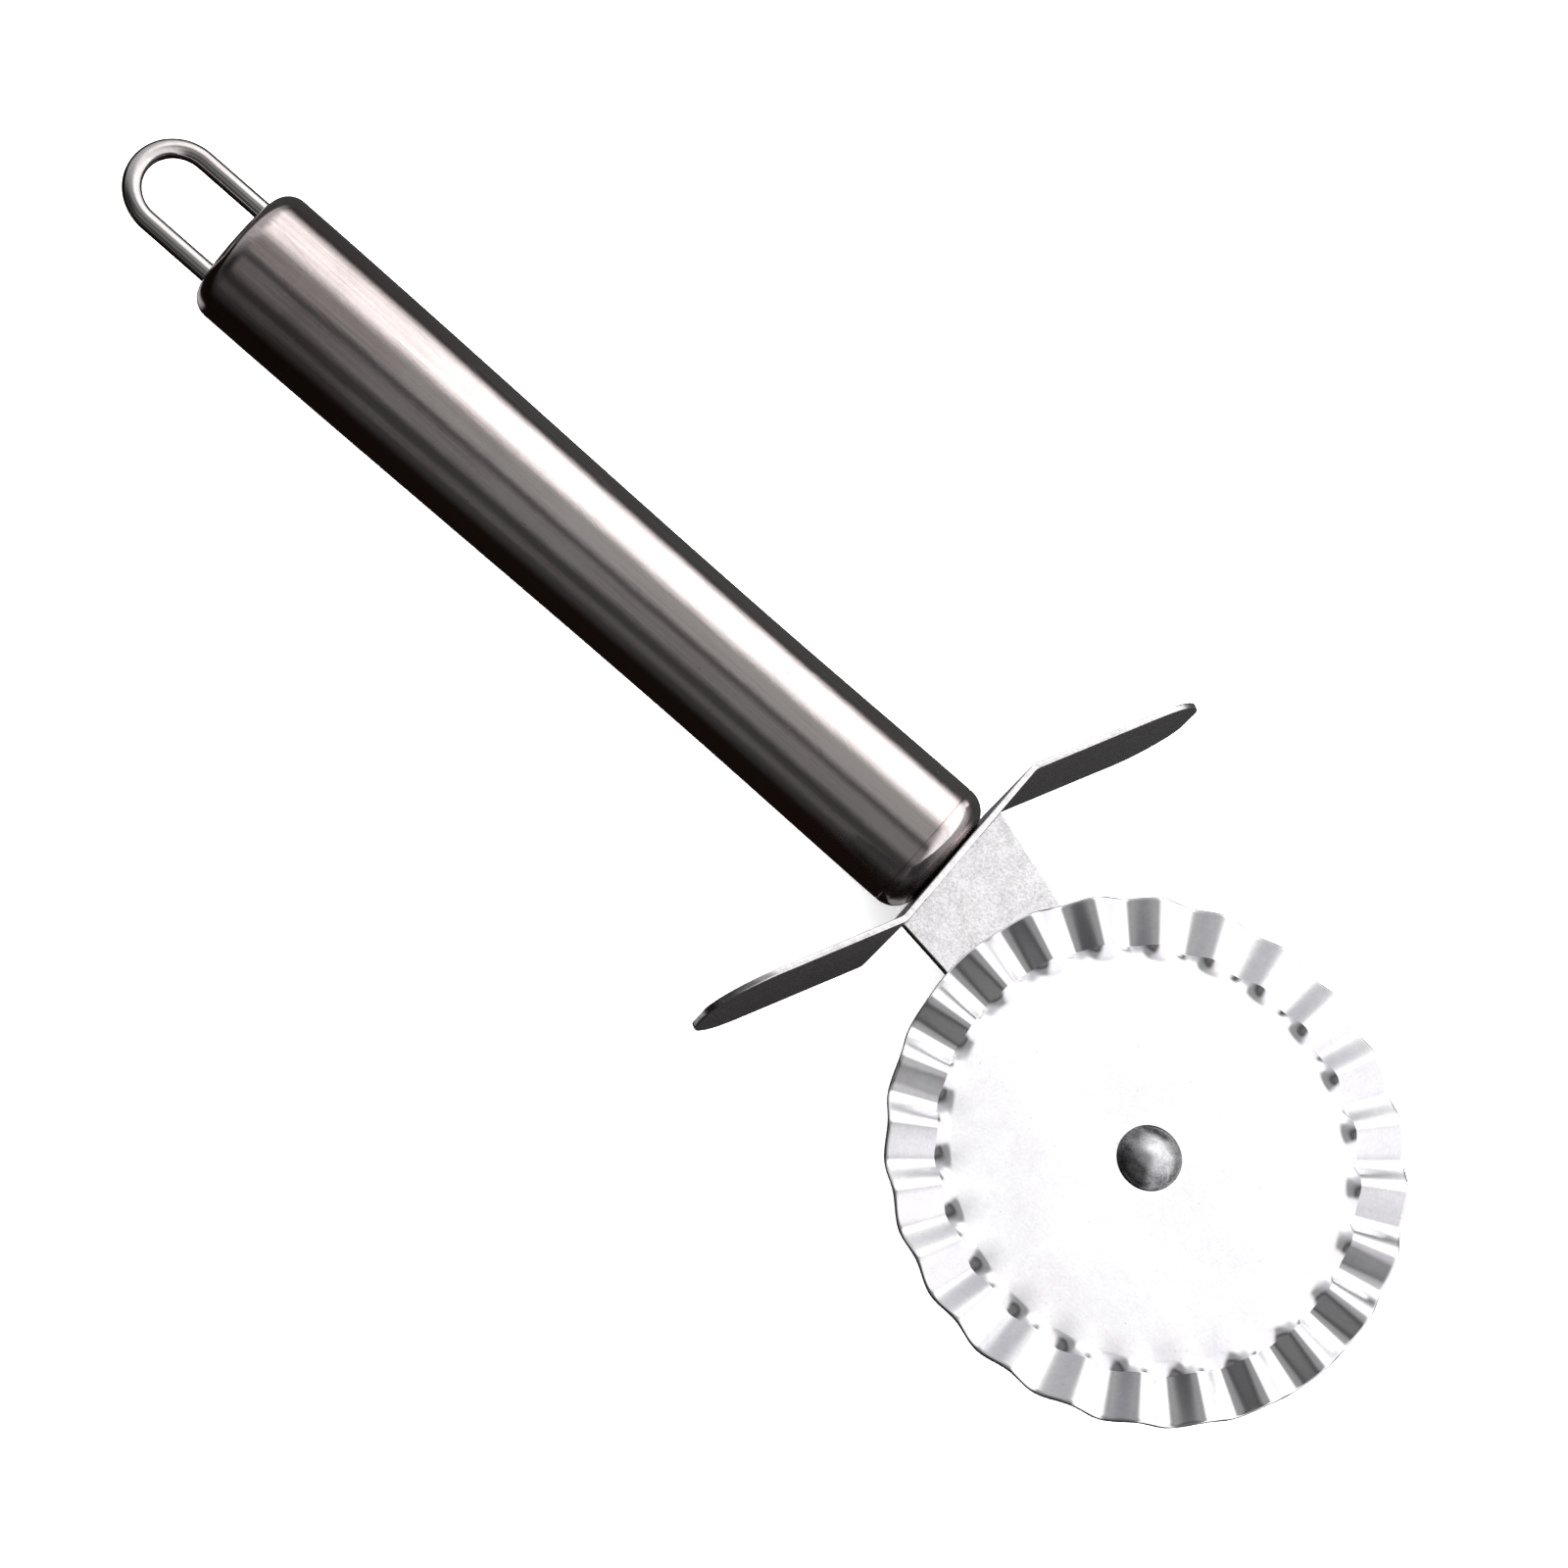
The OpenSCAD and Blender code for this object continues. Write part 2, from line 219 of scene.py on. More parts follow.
GROUPS = (
    ("handle", HandleSizes), ("loop", LoopSizes), ("guard", GuardSizes), ("arm", ArmSizes),
    ("wheel", WheelSizes), ("rivet", RivetSizes), ("finish", Finishes),
    ("studio", StudioSettings),
)


class PastryWheelSettings(bpy.types.PropertyGroup):
    handle: bpy.props.PointerProperty(type=HandleSizes)
    loop: bpy.props.PointerProperty(type=LoopSizes)
    guard: bpy.props.PointerProperty(type=GuardSizes)
    arm: bpy.props.PointerProperty(type=ArmSizes)
    wheel: bpy.props.PointerProperty(type=WheelSizes)
    rivet: bpy.props.PointerProperty(type=RivetSizes)
    finish: bpy.props.PointerProperty(type=Finishes)
    studio: bpy.props.PointerProperty(type=StudioSettings)


# ---------------------------------------------------------------- surfaces

def ease(t):
    """Smooth step: three times t squared less twice t cubed, held between 0 and 1."""
    c = np.clip(t, 0.0, 1.0)
    return c * c * (3 - 2 * c)


def arc(cx, cy, radius, start, end, steps):
    """Points of a circle's arc: centre plus radius times cosine and sine of each angle."""
    turn = np.radians(np.linspace(start, end, steps))
    return np.stack([cx + radius * np.cos(turn), cy + radius * np.sin(turn)], axis=1)


def revolve(profile, steps, axis, centre):
    """Surface of revolution: each profile point (along, radius) is carried round the axis,
    so a point is along the axis plus radius times cosine and sine of the turn."""
    turn = np.linspace(0, 2 * np.pi, steps, endpoint=False)
    along, radius = profile[:, 0:1], profile[:, 1:2]
    across = radius * np.cos(turn)
    aside = radius * np.sin(turn)
    along = np.broadcast_to(along, across.shape)
    order = (along, across, aside) if axis == "x" else (across, aside, along)
    return np.stack(order, axis=2) + np.array(centre)


def grid_faces(rows, columns, ring):
    """Quads of a grid whose columns close on themselves, and its rows too for a ring."""
    last = rows if ring else rows - 1
    j, i = np.meshgrid(np.arange(last), np.arange(columns), indexing="ij")
    n, k = (i + 1) % columns, (j + 1) % rows
    quads = [j * columns + i, j * columns + n, k * columns + n, k * columns + i]
    return np.stack(quads, axis=2).reshape(-1, 4)


def make_piece(name, grids, ring=False):
    """One mesh object from one or more closed grids of points: rows that shrink to a point
    become poles, and every face is turned to point outward."""
    mesh = bpy.data.meshes.new(name)
    points, faces, start = [], [], 0
    for grid in grids:
        points.append(grid.reshape(-1, 3))
        faces.append(grid_faces(grid.shape[0], grid.shape[1], ring) + start)
        start += grid.shape[0] * grid.shape[1]
    mesh.from_pydata(np.concatenate(points).tolist(), [], np.concatenate(faces).tolist())
    work = bmesh.new()
    work.from_mesh(mesh)
    bmesh.ops.remove_doubles(work, verts=work.verts, dist=2e-7)
    bmesh.ops.recalc_face_normals(work, faces=work.faces)
    work.to_mesh(mesh)
    work.free()
    mesh.validate()
    piece = bpy.data.objects.new(name, mesh)
    bpy.context.scene.collection.objects.link(piece)
    return piece


def cut(piece, cutters):
    """Takes the cutters' solids out of the piece, and removes the cutters."""
    for cutter in cutters:
        step = piece.modifiers.new("cut", "BOOLEAN")
        step.operation = "DIFFERENCE"
        step.solver = "EXACT"
        step.object = cutter
    seen = piece.evaluated_get(bpy.context.evaluated_depsgraph_get())
    mesh = bpy.data.meshes.new_from_object(seen)
    old = piece.data
    piece.modifiers.clear()
    piece.data = mesh
    mesh.name = piece.name
    bpy.data.meshes.remove(old)
    for cutter in cutters:
        solid = cutter.data
        bpy.data.objects.remove(cutter)
        bpy.data.meshes.remove(solid)


def complete(piece, material, body, nodes, sharp=32.0):
    """Smooth shading, material, body and the CAD nodes the piece stands for."""
    mesh = piece.data
    if not len(mesh.polygons):
        raise RuntimeError(f"{piece.name} came out empty")
    mesh.polygons.foreach_set("use_smooth", np.ones(len(mesh.polygons), dtype=bool))
    mesh.set_sharp_from_angle(angle=math.radians(sharp))
    mesh.materials.clear()
    mesh.materials.append(material)
    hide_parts(*nodes)
    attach(piece, body)


def block(name, low, high):
    """A box as a closed grid: its two ends are rows of four corners, closed by poles."""
    x0, y0, z0 = low
    x1, y1, z1 = high
    ring = np.array([[y0, z0], [y1, z0], [y1, z1], [y0, z1]])
    centre = ring.mean(axis=0)
    rows = []
    for x, loop in ((x0, centre), (x0, ring), (x1, ring), (x1, centre)):
        flat = np.broadcast_to(loop, (4, 2))
        rows.append(np.concatenate([np.full((4, 1), x), flat], axis=1))
    return make_piece(name, [np.stack(rows)])


def slot_cutter(name, sizes, start, end):
    """The box that cuts the tang's slot, from start to end along the handle."""
    across, up = sizes.slot_width / 2, sizes.slot_height / 2
    return block(name, (start, AXIS_Y - across, AXIS_Z - up), (end, AXIS_Y + across, AXIS_Z + up))


def plate_rows(low, high, top, bottom, edge, fill):
    """Closed sections of a flat strip: a rectangle from low to high across and from bottom
    to top in height, its four corners rounded by the edge radius, with rows of points on
    its flat sides so that the rounding stays narrow."""
    low, high, top, bottom = (np.asarray(v, float)[:, None] for v in (low, high, top, bottom))
    r = np.minimum(edge, np.minimum((high - low) / 2, (top - bottom) / 2))
    quarter = np.radians(np.linspace(0, 90, 5))[None, :]
    keep = np.minimum(0.06 * MM, (high - low) / 2 - r)
    spread = np.linspace(0, 1, fill)[None, :]
    inner_high, inner_low = high - r - keep, low + r + keep
    across = [
        high - r + r * np.cos(quarter),
        inner_high + (inner_low - inner_high) * spread,
        low + r - r * np.sin(quarter),
        low + r - r * np.cos(quarter),
        inner_low + (inner_high - inner_low) * spread,
        high - r + r * np.sin(quarter),
    ]
    height = [
        top - r + r * np.sin(quarter),
        np.broadcast_to(top, (len(top), fill)),
        top - r + r * np.cos(quarter),
        bottom + r - r * np.sin(quarter),
        np.broadcast_to(bottom, (len(top), fill)),
        bottom + r - r * np.cos(quarter),
    ]
    return np.concatenate(across, axis=1), np.concatenate(height, axis=1)


def closed_ends(grid):
    """Adds a pole, the mean of the end row, at each end of the grid."""
    first = np.broadcast_to(grid[0].mean(axis=0), grid[0].shape)[None]
    last = np.broadcast_to(grid[-1].mean(axis=0), grid[-1].shape)[None]
    return np.concatenate([first, grid, last])


# ---------------------------------------------------------------- shared effects

def add_node(tree, kind, inputs=None, **settings):
    """A new node with these settings. Each input is a plain value, or an output to link."""
    node = tree.nodes.new(kind)
    for name, value in settings.items():
        setattr(node, name, value)
    for name, value in (inputs or {}).items():
        if isinstance(value, bpy.types.NodeSocket):
            tree.links.new(value, node.inputs[name])
        else:
            node.inputs[name].default_value = value
    return node


def math_node(tree, operation, *values, clamp=False):
    """The result of a math node on plain numbers and outputs."""
    return add_node(tree, "ShaderNodeMath", dict(enumerate(values)),
                    operation=operation, use_clamp=clamp).outputs[0]


def vector_node(tree, operation, first, second):
    return add_node(tree, "ShaderNodeVectorMath", {0: first, 1: second}, operation=operation)


def mask_node(tree, value, low, high, kind="SMOOTHSTEP"):
    """0 where the value is low and 1 where it is high, smooth or straight between."""
    return add_node(tree, "ShaderNodeMapRange",
                    {"Value": value, "From Min": low, "From Max": high},
                    interpolation_type=kind).outputs[0]


def mix_node(tree, mask, first, second, kind="MIX"):
    """The first colour where the mask is 0 and the second where it is 1."""
    return add_node(tree, "ShaderNodeMix", {"Factor": mask, "A": first, "B": second},
                    data_type="RGBA", blend_type=kind).outputs["Result"]


def effect_group(name, inputs, outputs):
    """An empty shader node group with its named sockets, and its two end nodes."""
    group = bpy.data.node_groups.new(name, "ShaderNodeTree")
    for label, kind, *value in inputs:
        made = group.interface.new_socket(name=label, in_out="INPUT", socket_type=kind)
        if value:
            made.default_value = value[0]
    for label in outputs:
        group.interface.new_socket(name=label, in_out="OUTPUT", socket_type="NodeSocketFloat")
    return group, group.nodes.new("NodeGroupInput").outputs, group.nodes.new("NodeGroupOutput")


def brushed_group():
    """Fine drawn lines: noise read on coordinates that are squeezed across the lines and
    stretched along them, at two scales, with a few stronger single scratches."""
    if "brushed_lines" in bpy.data.node_groups:
        return bpy.data.node_groups["brushed_lines"]
    group, entry, leave = effect_group(
        "brushed_lines",
        [("Vector", "NodeSocketVector"), ("Grain", "NodeSocketVector", (60.0, 3000.0, 3000.0)),
         ("Scratches", "NodeSocketFloat", 0.5)],
        ["Lines", "Scratch", "Height"])
    stretched = vector_node(group, "MULTIPLY", entry["Vector"], entry["Grain"])
    fine = add_node(group, "ShaderNodeTexNoise", {
        "Vector": stretched.outputs[0], "Scale": 1.0, "Detail": 4.0, "Roughness": 0.62})
    turned = add_node(group, "ShaderNodeVectorRotate",
                      {"Vector": entry["Vector"], "Angle": 0.21}, rotation_type="Z_AXIS")
    slanted = vector_node(group, "MULTIPLY", turned.outputs[0], entry["Grain"])
    marks = add_node(group, "ShaderNodeTexNoise", {
        "Vector": slanted.outputs[0], "Scale": 0.42, "Detail": 1.0})
    strongest = mask_node(group, marks.outputs["Fac"], 0.70, 0.76, "LINEAR")
    scratch = math_node(group, "MULTIPLY", strongest, entry["Scratches"], clamp=True)
    height = math_node(group, "SUBTRACT", fine.outputs["Fac"], scratch)
    for made, name in ((fine.outputs["Fac"], "Lines"), (scratch, "Scratch"), (height, "Height")):
        group.links.new(made, leave.inputs[name])
    return group


def mottle_group():
    """Uneven surface: broad cloudy noise, a fine speckle, and small round pits where the
    distance to scattered cell centres is short and a random value per cell allows them."""
    if "steel_mottle" in bpy.data.node_groups:
        return bpy.data.node_groups["steel_mottle"]
    group, entry, leave = effect_group(
        "steel_mottle",
        [("Vector", "NodeSocketVector"), ("Cloud Scale", "NodeSocketFloat", 120.0),
         ("Speckle Scale", "NodeSocketFloat", 2500.0), ("Pit Scale", "NodeSocketFloat", 900.0),
         ("Pit Amount", "NodeSocketFloat", 0.5)],
        ["Cloud", "Speckle", "Pits", "Height"])
    cloud = add_node(group, "ShaderNodeTexNoise", {
        "Vector": entry["Vector"], "Scale": entry["Cloud Scale"], "Detail": 5.0,
        "Distortion": 0.4}).outputs["Fac"]
    speckle = add_node(group, "ShaderNodeTexNoise", {
        "Vector": entry["Vector"], "Scale": entry["Speckle Scale"], "Detail": 2.0,
        "Roughness": 0.7}).outputs["Fac"]
    cells = add_node(group, "ShaderNodeTexVoronoi", {
        "Vector": entry["Vector"], "Scale": entry["Pit Scale"]})
    dot = mask_node(group, cells.outputs["Distance"], 0.16, 0.06, "LINEAR")
    random = add_node(group, "ShaderNodeSeparateColor", {0: cells.outputs["Color"]})
    chosen = math_node(group, "LESS_THAN", random.outputs[0], entry["Pit Amount"])
    pits = math_node(group, "MULTIPLY", dot, chosen, clamp=True)
    height = math_node(group, "SUBTRACT", speckle, pits)
    for made, name in ((cloud, "Cloud"), (speckle, "Speckle"), (pits, "Pits"),
                       (height, "Height")):
        group.links.new(made, leave.inputs[name])
    return group


def add_up(tree, start, parts):
    """start plus each mask less its own middle value, times its weight, and at least a
    small lowest value."""
    lowest = 0.02
    total = start
    for mask, weight, centre in parts:
        part = math_node(tree, "MULTIPLY_ADD", mask, weight, -centre * weight)
        total = math_node(tree, "ADD", part, total)
    return math_node(tree, "MAXIMUM", total, lowest)


def painted_rim_shade_mask(tree, place, centre, radius):
    """Painted shade on a round part: 0 at its middle and 1 at its rim, by distance from the
    upright axis, so the colour darkens toward the rim.
    """
    flat = vector_node(tree, "MULTIPLY", place, (1.0, 1.0, 0.0))
    away = vector_node(tree, "DISTANCE", flat.outputs[0], (centre[0], centre[1], 0.0))
    return mask_node(tree, away.outputs["Value"], radius * 0.15, radius * 0.92)


def painted_end_shade_mask(tree, place, start, end):
    """Painted shade along the handle: 1 at one place along the handle's direction, falling
    smoothly to 0 at another, so the colour darkens toward one end.
    """
    split = add_node(tree, "ShaderNodeSeparateXYZ", {0: place})
    return mask_node(tree, split.outputs["X"], end, start)


def steel(name, colour, deep, roughness, grain, scratches, cloud, speckle, pits, bump,
          tone=(0.3, 0.2, 0.5, 0.0), uneven=(0.05, 0.04), wobble=0.0, rim=None, painted_end_shade=None):
    """A steel finish: colour mixed toward its deep tone by cloudy mottle, drawn lines, pits
    and speckle, roughness that varies with the same masks, a fine bump, a broad wobble of
    the surface and, where asked for, painted shade that darkens the colour toward a round
    part's rim or toward one end."""
    material = bpy.data.materials.new(name)
    material.use_nodes = True
    tree = material.node_tree
    shader = tree.nodes["Principled BSDF"]
    shader.inputs["Metallic"].default_value = 1.0
    place = add_node(tree, "ShaderNodeTexCoord").outputs["Object"]
    lines = add_node(tree, "ShaderNodeGroup", {
        "Vector": place, "Grain": grain, "Scratches": scratches},
        node_tree=brushed_group()).outputs
    mottle = add_node(tree, "ShaderNodeGroup", {
        "Vector": place, "Cloud Scale": cloud, "Speckle Scale": speckle,
        "Pit Scale": pits[0], "Pit Amount": pits[1]}, node_tree=mottle_group()).outputs
    cloudy, lined, marked, speckled = tone
    masks = [
        (mottle["Cloud"], 2.0 * cloudy, 0.5), (lines["Lines"], 2.0 * lined, 0.5),
        (mottle["Pits"], marked, 0.0), (lines["Scratch"], marked * 0.5, 0.0),
        (mottle["Speckle"], 2.0 * speckled, 0.5)]
    # painted shade: the colour darkens toward a round part's rim
    if rim:
        masks.append((painted_rim_shade_mask(tree, place, *rim), 0.75, 0.0))
    # painted shade: the colour darkens toward one end
    if painted_end_shade:
        masks.append((painted_end_shade_mask(tree, place, *painted_end_shade), 0.75, 0.0))
    amount = add_up(tree, 0.1 if rim or painted_end_shade else 0.3, masks)
    tree.links.new(mix_node(tree, amount, (*colour, 1.0), (*deep, 1.0)),
                   shader.inputs["Base Color"])
    rough = add_up(tree, roughness, [
        (mottle["Cloud"], 2.0 * uneven[0], 0.5), (mottle["Speckle"], 2.0 * uneven[1], 0.5),
        (lines["Scratch"], 0.12, 0.0), (mottle["Pits"], 0.2, 0.0)])
    tree.links.new(rough, shader.inputs["Roughness"])
    height = math_node(tree, "ADD", lines["Height"], mottle["Height"])
    relief = add_node(tree, "ShaderNodeBump", {
        "Strength": 1.0, "Distance": bump, "Height": height})
    if wobble:
        broad = add_node(tree, "ShaderNodeBump", {
            "Strength": 1.0, "Distance": wobble, "Height": mottle["Cloud"]})
        tree.links.new(broad.outputs["Normal"], relief.inputs["Normal"])
    tree.links.new(relief.outputs["Normal"], shader.inputs["Normal"])
    return material


def finish(name):
    """The finish of one kind of surface, made the first time it is asked for."""
    made = f"{name}_finish"
    if made in bpy.data.materials:
        return bpy.data.materials[made]
    f = bpy.context.scene.pastry_wheel.finish
    along = (55.0, 2600.0, 2600.0)
    even = (900.0, 900.0, 900.0)
    if name == "polished_handle":
        # the handle's colour darkens toward its rear end: painted shade standing for its dimmer
        # reflections there
        return steel(made, f.handle, f.handle_streaks_and_shade, 0.12, along, 0.6, 75.0, 1800.0,
                     (700.0, 0.14), 2.2e-6, tone=(0.5, 0.7, 0.6, 0.2), wobble=1.2e-4,
                     painted_end_shade=(REAR_FACE - 5 * MM, REAR_FACE + 60 * MM))
    if name == "loop_wire":
        return steel(made, f.wire, f.handle_streaks_and_shade, 0.16, (300.0, 2600.0, 2600.0), 0.5, 200.0,
                     2500.0, (900.0, 0.2), 1.2e-6, tone=(0.4, 0.3, 0.6, 0.2), wobble=1.5e-5)
    if name == "matte_arm":
        return steel(made, f.sheet, f.sheet_deep, 0.24, even, 0.3, 300.0, 3000.0,
                     (1300.0, 0.35), 4.0e-6, tone=(0.35, 0.5, 0.5, 0.9), uneven=(0.06, 0.10))
    if name == "matte_guard":
        return steel(made, f.guard, f.guard_deep, 0.26, even, 0.3, 300.0, 3000.0,
                     (1300.0, 0.35), 5.0e-6, tone=(0.35, 0.5, 0.5, 0.8), uneven=(0.06, 0.10))
    if name == "bright_wheel":
        return steel(made, f.wheel, f.wheel_deep, 0.15, even, 0.3, 130.0, 2600.0,
                     (900.0, 0.15), 1.2e-6, tone=(0.5, 0.3, 0.5, 0.3), uneven=(0.04, 0.03),
                     wobble=0.8e-5)
    # the rivet's colour darkens toward the rim of its dome: painted shade standing for the dark
    # reflections round the dome
    if name == "rivet_steel":
        return steel(made, f.rivet, f.rivet_mottle_and_shade, 0.22, even, 0.4, 500.0, 3600.0,
                     (1500.0, 0.3), 2.0e-6, tone=(0.3, 0.3, 0.4, 0.3),
                     rim=(HUB, bpy.context.scene.pastry_wheel.rivet.head_radius))
    if name == "washer_steel":
        return steel(made, f.rivet, f.handle_streaks_and_shade, 0.26, even, 0.4, 400.0, 3600.0,
                     (1500.0, 0.3), 2.0e-6, tone=(0.4, 0.3, 0.6, 0.3))
    return steel(made, f.inner, f.handle_streaks_and_shade, 0.38, even, 0.5, 300.0, 3000.0,
                 (1200.0, 0.4), 3.0e-6, tone=(0.5, 0.3, 0.6, 0.3))


# ---------------------------------------------------------------- pieces

def tube_radius(s, h):
    """Outer radius of the handle: a smooth fall from the rear to the waist, then a slight
    smooth rise to the front."""
    fall = h.waist_radius + (h.rear_radius - h.waist_radius) * (1 - ease(s / h.waist_position))
    rise = h.waist_radius + h.front_swell * ease(
        (s - h.waist_position) / (1 - h.waist_position))
    return np.where(s < h.waist_position, fall, rise)


class PASTRY_OT_handle(bpy.types.Operator):
    """Builds the waisted handle tube and its two rounded end caps"""
    bl_idname = "pastry_wheel.handle"
    bl_label = "Handle"

    def execute(self, context):
        h = context.scene.pastry_wheel.handle
        loop = context.scene.pastry_wheel.loop
        axis = (0.0, AXIS_Y, AXIS_Z)
        rear, front = REAR_FACE + h.cap_length, FRONT_FACE - h.cap_length
        broken = h.seam / (front - rear)
        s = np.concatenate([[0.0, broken, 2 * broken], np.linspace(4 * broken, 1 - 4 * broken, 90),
                            [1 - 2 * broken, 1 - broken, 1.0]])
        outer = tube_radius(s, h)
        outer[-1] -= h.seam
        x = rear + s * (front - rear)
        inner = tube_radius(s, h) - h.wall
        profile = np.concatenate([np.stack([x, outer], axis=1),
                                  np.stack([x, inner], axis=1)[::-1]])
        tube = make_piece("handle_body", [revolve(profile, 192, "x", axis)], ring=True)
        complete(tube, finish("polished_handle"), "handle", ["handle_tube"])

        def cap(name, face, inward, radius, edge, spigot_radius, seam):
            """A cap as a profile turned about the axis: flat face, quarter-round edge, short
            side, a step in to the spigot, and the spigot's flat end."""
            support = 0.05 * MM
            round_edge = arc(edge, radius - edge, edge, 180, 90, 14)
            end, tip = h.cap_length, h.cap_length + h.spigot
            rows = np.concatenate([
                [[0, 0], [0, radius - edge - support]], round_edge,
                [[edge + support, radius], [end - seam, radius], [end, radius - seam],
                 [end, spigot_radius], [tip, spigot_radius], [tip, 0]]])
            rows[:, 0] = face + inward * rows[:, 0]
            return make_piece(name, [revolve(rows, 160, "x", axis)])

        radius = float(tube_radius(np.array(1.0), h))
        cap_front = cap("handle_front_cap", FRONT_FACE, -1, radius, h.front_edge,
                        radius - h.wall - 0.1 * MM, h.seam)
        cut(cap_front, [slot_cutter("slot_cutter", h, FRONT_FACE - 2 * h.cap_length - h.spigot,
                                    FRONT_FACE + h.cap_length)])
        complete(cap_front, finish("polished_handle"), "handle", ["front_cap"])
        cap_rear = cap("handle_rear_cap", REAR_FACE, 1, h.rear_radius, h.rear_edge,
                       h.rear_radius - h.wall - 0.2 * MM, 0.0)
        holes = []
        for number, side in enumerate((-1, 1)):
            bore = loop.wire_radius + 0.05 * MM
            start, end = REAR_FACE - h.cap_length, REAR_FACE + 2 * h.cap_length + h.spigot
            line = np.array([[start, 0], [start, bore], [end, bore], [end, 0]])
            centre = (0.0, AXIS_Y + side * loop.bend_radius, AXIS_Z)
            holes.append(make_piece(f"bore_cutter_{number}", [revolve(line, 48, "x", centre)]))
        cut(cap_rear, holes)
        complete(cap_rear, finish("polished_handle"), "handle", ["rear_cap"])
        return {"FINISHED"}


class PASTRY_OT_loop(bpy.types.Operator):
    """Builds the wire hanging loop"""
    bl_idname = "pastry_wheel.loop"
    bl_label = "Hanging Loop"

    def execute(self, context):
        """A round wire carried along two straight legs and a half circle: each point is the
        path plus the wire radius times the side direction and the upward direction."""
        s = context.scene.pastry_wheel.loop
        inside, back = REAR_FACE + s.leg_depth, REAR_FACE - s.straight
        leg = np.linspace(inside, back, 12)
        turn = np.radians(np.linspace(90, 270, 49))[1:-1]
        path = np.concatenate([
            np.stack([leg, np.full(12, s.bend_radius)], axis=1),
            np.stack([back + s.bend_radius * np.cos(turn), s.bend_radius * np.sin(turn)], axis=1),
            np.stack([leg[::-1], np.full(12, -s.bend_radius)], axis=1)])
        along = np.gradient(path, axis=0)
        along[:12], along[-12:] = (-1.0, 0.0), (1.0, 0.0)
        along /= np.linalg.norm(along, axis=1, keepdims=True)
        side = np.stack([along[:, 1], -along[:, 0]], axis=1)
        chamfer = 0.2 * MM
        radius = np.full(len(path), s.wire_radius)
        path = np.concatenate([path[:1], path[:1], path, path[-1:], path[-1:]])
        path[2, 0] -= chamfer
        path[-3, 0] -= chamfer
        side = np.concatenate([side[:1], side[:1], side, side[-1:], side[-1:]])
        radius = np.concatenate([[0, s.wire_radius - chamfer], radius,
                                 [s.wire_radius - chamfer, 0]])[:, None]
        round_wire = np.linspace(0, 2 * np.pi, 40, endpoint=False)[None, :]
        out = radius * np.cos(round_wire)
        grid = np.stack([
            path[:, 0:1] + out * side[:, 0:1],
            AXIS_Y + path[:, 1:2] + out * side[:, 1:2],
            AXIS_Z + radius * np.sin(round_wire)], axis=2)
        piece = make_piece("loop_of_wire", [grid])
        complete(piece, finish("loop_wire"), "handle", ["hanging_loop"])
        return {"FINISHED"}


class PASTRY_OT_guard(bpy.types.Operator):
    """Builds the bent finger guard"""
    bl_idname = "pastry_wheel.guard"
    bl_label = "Finger Guard"

    def execute(self, context):
        """A flat section carried along the strip's middle line, which is a straight plate, a
        bend and a straight wing on one side, and the same turned half round on the other.
        Near each tip the width follows the rounded corners."""
        g = context.scene.pastry_wheel.guard
        flat = g.bend_offset - g.bend_radius * math.tan(g.wing_angle / 2)
        bent = flat + g.bend_radius * g.wing_angle
        total = bent + g.wing_length - g.bend_radius * math.tan(g.wing_angle / 2)
        tip = total - g.corner * (1 - np.cos(np.radians(np.linspace(0, 90, 26))))
        tip = np.concatenate([tip, total - np.array([0.02, 0.06, 0.12]) * MM])
        half_line = np.unique(np.concatenate([
            np.linspace(0, flat, 16), np.linspace(flat, bent, 14),
            np.linspace(bent, total - g.corner, 20), tip]))
        s = np.concatenate([-half_line[::-1], half_line[1:]])
        distance = np.abs(s)
        turn = np.clip((distance - flat) / g.bend_radius, 0, g.wing_angle)
        wing = np.maximum(distance - bent, 0)
        x = g.bend_radius * (1 - np.cos(turn)) + wing * math.sin(g.wing_angle)
        y = np.minimum(distance, flat) + g.bend_radius * np.sin(turn) + wing * math.cos(
            g.wing_angle)
        x, y = np.sign(s) * x, np.sign(s) * y
        left = np.clip(g.corner - (total - distance), 0, g.corner)
        reach = g.width / 2 - g.corner + np.sqrt(np.maximum(g.corner ** 2 - left ** 2, 0))
        close = np.clip(g.edge - (total - distance), 0, g.edge)
        lift = g.thickness / 2 - g.edge + np.sqrt(np.maximum(g.edge ** 2 - close ** 2, 0))
        across, height = plate_rows(-reach, reach, lift, -lift, g.edge, 12)
        grid = np.stack([
            FRONT_FACE + g.thickness / 2 + x[:, None] + height * np.cos(turn)[:, None],
            AXIS_Y + y[:, None] - height * np.sin(turn)[:, None],
            AXIS_Z + across], axis=2)
        piece = make_piece("guard_strip", [closed_ends(grid)])
        handle = context.scene.pastry_wheel.handle
        cut(piece, [slot_cutter("guard_slot_cutter", handle, FRONT_FACE - g.thickness,
                                FRONT_FACE + 2 * g.thickness)])
        complete(piece, finish("matte_guard"), "handle", ["finger_guard"])
        return {"FINISHED"}


